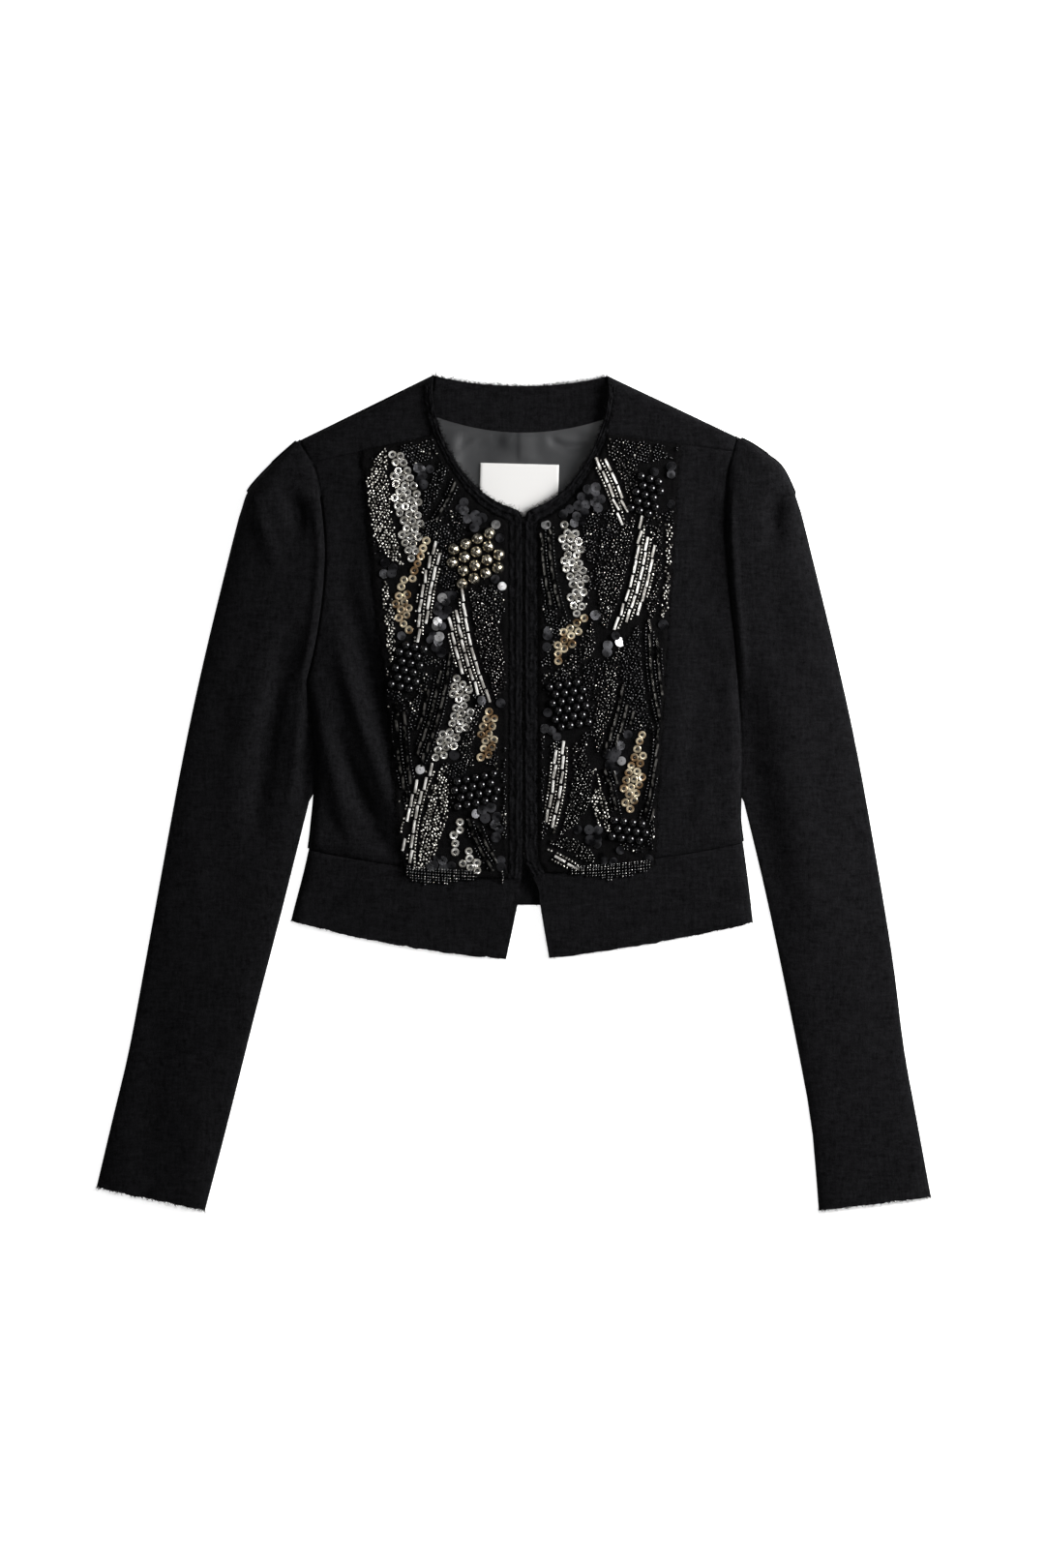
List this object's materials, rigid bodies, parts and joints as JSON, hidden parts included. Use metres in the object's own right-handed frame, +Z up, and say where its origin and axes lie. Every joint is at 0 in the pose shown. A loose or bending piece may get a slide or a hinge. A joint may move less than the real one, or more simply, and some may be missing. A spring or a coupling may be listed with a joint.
{
  "type": "cropped wool jacket with beaded bibs, laid flat",
  "caption": "Cropped collarless black wool jacket, laid flat: raw frayed edges, set-in sleeves, hem band, beaded bibs and hooked front",
  "frame": {"origin": "the middle of the jacket's box in plan, on the surface that it lies on", "axes": "+X is to the viewer's right, +Y towards the neck, +Z up off the surface, with the fronts facing up"},
  "size_m": [0.6638, 0.6636, 0.0142],
  "materials": {
    "wool": "matte napped wool, woven",
    "lining": "smooth satin",
    "label": "matte woven ribbon",
    "beadwork": "wool set with glossy beads and sequins",
    "metal": "plain wire"
  },
  "bodies": {
    "root": {"back": "wool", "band_back": "wool", "neck_facing": "wool", "lining": "lining", "label": "label", "front_left": "wool", "band_left": "wool", "bib_left": "beadwork", "edge_strip_left": "wool", "sleeve_left_upper": "wool", "sleeve_left_under": "wool", "front_right": "wool", "band_right": "wool", "bib_right": "beadwork", "edge_strip_right": "wool", "sleeve_right_upper": "wool", "sleeve_right_under": "wool", "hook_1": "metal", "eye_1": "metal", "hook_2": "metal", "eye_2": "metal", "hook_3": "metal", "eye_3": "metal", "hook_4": "metal", "eye_4": "metal", "hook_5": "metal", "eye_5": "metal"}
  },
  "joints": []
}
